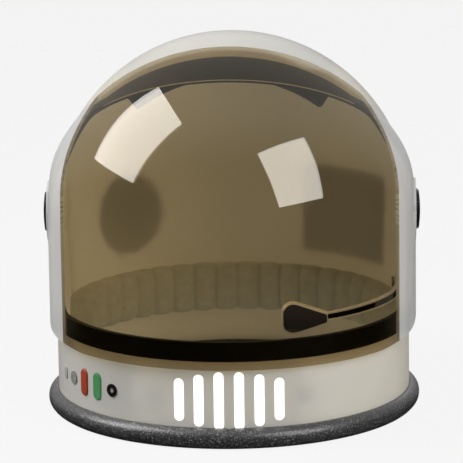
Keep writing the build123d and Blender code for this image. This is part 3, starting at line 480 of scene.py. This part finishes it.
def painted_highlight_piping(material):
    """Thin pale piping along the trim's upper edge: a painted highlight, a pale tube standing where light
    catches the trim's bead.
    It follows the curve in which a plane beside the sloped edge meets the dome."""
    dome_r, bead, piping_r, half_w = 139.1, 1.75, 0.45, 96.0
    steps, around, end_steps, end_left = 96, 10, 3, 0.02
    level = EDGE_RISE + EDGE_SLOPE * EDGE_Y - bead * math.hypot(1, EDGE_SLOPE)
    path = []
    for i in range(steps + 1):
        x = half_w * (-1 + 2 * i / steps)
        a, b, c = 1 + EDGE_SLOPE**2, -2 * level * EDGE_SLOPE, level**2 + x * x - dome_r**2
        y = (-b - math.sqrt(b * b - 4 * a * c)) / (2 * a)
        path.append(Vector((x, y, level - EDGE_SLOPE * y)))
    verts = []
    for i, spot in enumerate(path):
        ahead = (path[min(i + 1, steps)] - path[max(i - 1, 0)]).normalized()
        out = spot.normalized()
        side = ahead.cross(out).normalized()
        end = min(i, steps - i) / end_steps
        radius = piping_r * math.sqrt(max(end_left, 1 - (1 - min(1.0, end)) ** 2))
        for j in range(around):
            turn = 2 * math.pi * j / around
            point = spot + (out * math.cos(turn) + side * math.sin(turn)) * radius
            verts.append((point.x * MM, point.y * MM, point.z * MM + HUB_Z))
    faces = tube_faces(steps + 1, around, False)
    piece = mesh_piece("painted_highlight_piping", verts, faces, material, "helmet")


def crown_cushion(material):
    """Quilted cushion under the crown: three puffed panels with sewn channels between them. Its front
    is cut blunt and square, its ends point toward the wearer's chin, and it clears the trim's inner lip.
    u runs from side to side and v from front to rear, both from -1 to 1."""
    glue = 0.3
    outer = INNER_DOME_R / MM - glue
    half_w, front, rear, chin = 77.5, -57.2, 41.5, -60.0
    front_bow, corner, corner_power = 6.0, 24, 2.2
    blunt_ends, blunt_front, soft_rear, hem_power = 70, 44, 7, 0.4
    seam_at, seam_w, seam_dip, seam_fade = 0.36, 3.0, 0.22, 8
    middle_t, end_gain, end_power = 13.4, 3.6, 1.5
    lip_reach, lip_blend, lip_relief = 8.6, 2.6, 1.9
    wide, deep = 110, 72
    top, low = [], []
    for i in range(wide + 1):
        u = -1 + 2 * i / wide
        x = half_w * u
        near = front + front_bow * u * u
        far = rear - corner * max(0.0, (abs(x) - (half_w - corner)) / corner) ** corner_power
        for j in range(deep + 1):
            v = -1 + 2 * j / deep
            y = (near + far) / 2 + (far - near) / 2 * v
            ends = max(0.0, 1 - abs(u) ** blunt_ends) ** hem_power
            hem = ends * max(0.0, 1 - abs(v) ** (blunt_front if v < 0 else soft_rear)) ** hem_power
            seam = min(abs(u - seam_at), abs(u + seam_at)) * half_w
            channel = 1 - seam_dip * math.exp(-((seam / seam_w) ** 2)) * (1 - abs(v) ** seam_fade)
            depth = middle_t + end_gain * abs(u) ** end_power
            spot = Vector((x, y, math.sqrt(outer**2 - x * x - y * y)))
            inner = spot - (spot - Vector((0, 0, chin))).normalized() * depth * hem * channel
            near_lip = min(1.0, max(0.0, (lip_reach - behind_opening(spot)) / lip_blend))
            spot = spot * (1 - lip_relief * near_lip / outer)
            if (spot - inner).dot(spot) < 0:
                inner = spot.copy()
            for points, point in ((top, spot), (low, inner)):
                points.append((point.x * MM, point.y * MM, point.z * MM + HUB_Z))
    verts = top + low
    row = deep + 1
    count = len(top)
    faces = []
    for i in range(wide):
        for j in range(deep):
            a = i * row + j
            faces.append((a, a + 1, a + row + 1, a + row))
            faces.append((count + a + row, count + a + row + 1, count + a + 1, count + a))
    for i in range(wide):
        for j in (0, deep):
            a, b = i * row + j, (i + 1) * row + j
            faces.append((a, b, count + b, count + a))
    for j in range(deep):
        for i in (0, wide):
            a, b = i * row + j, i * row + j + 1
            faces.append((a, b, count + b, count + a))
    piece = mesh_piece("crown_cushion", verts, faces, material, "helmet")
    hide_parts("crown_pad")


def softbox(name, centre, across, upward, wide, tall, power):
    """A rectangular studio light: its middle from the hub in metres, the directions of its two edges,
    its size in metres and its watts."""
    lamp = bpy.data.lights.new(name, "AREA")
    lamp.shape = "RECTANGLE"
    lamp.size, lamp.size_y = wide, tall
    lamp.energy = power
    piece = bpy.data.objects.new(name, lamp)
    side = Vector(across).normalized()
    away = side.cross(Vector(upward)).normalized()
    basis = Matrix((side, away.cross(side), away)).transposed().to_4x4()
    piece.matrix_world = Matrix.Translation(Vector(centre) + Vector((0, 0, HUB_Z))) @ basis
    bpy.context.scene.collection.objects.link(piece)


def photo_camera():
    """Camera at the photograph's angle: slightly above, slightly to the right, rolled a little."""
    frame_px, hub_px = 463, (231.8, 209.8)
    mm_per_px, away, sensor = 0.777, 2600.0, 36.0
    azimuth, elevation, roll = math.radians(1.67), math.radians(12.1), math.radians(0.76)
    level = math.cos(elevation)
    back = Vector((math.sin(azimuth) * level, -math.cos(azimuth) * level, math.sin(elevation)))
    right = Vector((math.cos(azimuth), math.sin(azimuth), 0))
    up = back.cross(right)
    across = right * math.cos(roll) - up * math.sin(roll)
    upward = up * math.cos(roll) + right * math.sin(roll)
    data = bpy.data.cameras.new("product_camera")
    data.sensor_width = sensor
    data.lens = sensor * away / (frame_px * mm_per_px)
    data.shift_x = (frame_px / 2 - hub_px[0]) / frame_px
    data.shift_y = -(frame_px / 2 - hub_px[1]) / frame_px
    data.clip_start, data.clip_end = 0.05, 50.0
    camera = bpy.data.objects.new("product_camera", data)
    where = Vector((0, 0, HUB_Z)) + back * away * MM
    basis = Matrix((across, upward, back)).transposed().to_4x4()
    camera.matrix_world = Matrix.Translation(where) @ basis
    bpy.context.scene.collection.objects.link(camera)
    bpy.context.scene.camera = camera


def surroundings():
    """Even pale surroundings. In reflections they are dark but for a soft glow overhead and behind."""
    world = bpy.data.worlds.new("studio")
    world.use_nodes = True
    tree = world.node_tree
    way = add(tree, "TexCoord").outputs["Generated"]
    rise = add(tree, "VectorMath", {0: way, 1: (0.0, 0.5, 0.87)}, operation="DOT_PRODUCT")
    glow = add(tree, "MapRange", {
        "Value": rise.outputs["Value"], "From Min": 0.2, "From Max": 0.7, "To Min": 0.0, "To Max": 0.46,
    })
    mirrored = add(tree, "LightPath").outputs["Is Glossy Ray"]
    power = add(tree, "Mix", {0: mirrored, 2: 0.36, 3: glow.outputs[0]}, data_type="FLOAT")
    backdrop = tree.nodes["Background"]
    backdrop.inputs[0].default_value = linear("#FFFFFF")
    tree.links.new(power.outputs[0], backdrop.inputs[1])
    bpy.context.scene.world = world


def studio():
    """Pale floor, even surroundings, a softbox on each side and a dim one behind."""
    half = 30.0
    mesh = bpy.data.meshes.new("studio_floor")
    corners = [(-half, -half, 0), (half, -half, 0), (half, half, 0), (-half, half, 0)]
    mesh.from_pydata(corners, [], [(0, 1, 2, 3)])
    floor = bpy.data.objects.new("studio_floor", mesh)
    mesh.materials.append(seamless_floor())
    bpy.context.scene.collection.objects.link(floor)
    floor.visible_diffuse = False
    floor.visible_glossy = False
    surroundings()
    softbox("left_softbox", (-0.874, -0.100, 0.769), (0.146, -0.989, 0.028), (0.589, 0.008, 0.808),
            0.790, 0.869, 13.4)
    softbox("right_softbox", (0.748, -0.780, 0.591), (0.701, 0.713, 0.017), (-0.472, 0.341, 0.813),
            0.671, 0.753, 9.0)
    softbox("back_softbox", (0.14, 1.26, 0.77), (-1, 0.11, 0), (0, -0.5, 0.85), 1.2, 1.0, 2.0)
    bpy.context.scene.view_settings.view_transform = "Standard"


def dress():
    """Every part gets its finish, and the foam, padded and piped parts are built in full."""
    shell = moulded_shell()
    nylon = moulded("moulded_black_nylon", "#121213", "#1A1A1B", 0.34)
    zinc = plated("zinc_plated_steel", "#B9BBBE", 0.3)
    nickel = plated("nickel_plated_steel", "#C9C8C4", 0.2)
    fibre = moulded("pressed_fibre_washer", "#2A2826", "#1E1D1C", 0.8, 0.6 * MM, 0.05 * MM)
    grey_abs = moulded("moulded_grey_abs", "#A9A9A6", "#9E9E9B", 0.45, 0.7 * MM, 0.02 * MM)
    dark_abs = moulded("moulded_dark_abs", "#2F2F31", "#28282A", 0.5, 0.7 * MM, 0.02 * MM)
    silver = plated("silver_painted_abs", "#FFFFFF", 0.5, second="#F3F4FF", metal=0.25)
    gloss_grey = moulded("polished_dark_acrylic", "#48495E", "#3F4054", 0.12, 6 * MM, 0.005 * MM, coat=1.0)
    gloss_black = moulded("polished_black_acrylic", "#131214", "#0E0D0F", 0.1, 6 * MM, 0.005 * MM, coat=1.0)
    port_black = moulded("moulded_black_abs", "#1E1C1A", "#161514", 0.3)
    port_grey = moulded("moulded_mid_grey_abs", "#8E8E8A", "#858581", 0.35)
    plug_grey = moulded("moulded_pale_grey_abs", "#A8A7A0", "#9A9992", 0.5)
    window = moulded("frosted_grey_acrylic", "#B4B5AF", "#A9AAA4", 0.3)
    red = moulded("moulded_brick_red_abs", "#A8472E", "#9C4029", 0.3)
    green = moulded("moulded_green_abs", "#579E66", "#4E915C", 0.3)
    paper = moulded("pressed_paper_cone", "#141414", "#1B1B1B", 0.7, 0.8 * MM, 0.04 * MM)
    ribbon = moulded("extruded_ribbon_cable", "#9B9B97", "#8A8A86", 0.5, 1.0 * MM, 0.05 * MM)
    finishes = {
        shell: ["front_shell", "rear_shell", "mic_bracket"],
        milky_cheek(): ["left_visor_cheek", "right_visor_cheek"],
        tinted_lens(): ["visor_lens"],
        moulded_rubber(): ["face_trim"],
        nylon: ["left_knob", "right_knob", "left_knob_cap", "right_knob_cap"],
        zinc: ["left_pivot_bolt", "right_pivot_bolt", "small_screws", "shell_screws", "mic_pivot_screw"],
        nickel: ["button_cells", "cell_contacts"],
        fibre: ["left_pivot_washer", "right_pivot_washer"],
        grey_abs: ["sound_box", "lamp_cover"],
        dark_abs: ["cell_cover"],
        silver: ["mic_boom", "mic_body"],
        gloss_grey: ["mic_cover"],
        gloss_black: ["boom_strip"],
        port_black: ["black_port_ring"],
        port_grey: ["grey_port_ring"],
        plug_grey: ["black_port_plug", "grey_port_plug"],
        window: ["grey_indicator"],
        red: ["red_button"],
        green: ["green_button"],
        paper: ["speaker"],
        ribbon: ["lamp_cable"],
        lit_diffuser(): ["light_bars"],
        circuit("white_solder_mask", "#E4E4DE", "#D8D8D0"): ["lamp_strip"],
        circuit("green_solder_mask", "#1E5A36", "#18492C"): ["circuit_board"],
        silicone(): ["button_keypad"],
        printed_round(): ["round_patch"],
        printed_bands(): ["rectangular_patch"],
    }
    for material, nodes in finishes.items():
        for node in nodes:
            paint(node, material)
    foam_collar(foam_with_painted_glints())
    roll_band(knitted("knitted_olive_cover", "#DEDED4", "#D3D3C7"))
    # the pale piping along the trim's upper edge is a painted highlight
    painted_highlight_piping(shell)
    crown_cushion(knitted("knitted_dark_cover", "#3A3A35", "#31312D"))


dress()
studio()
photo_camera()
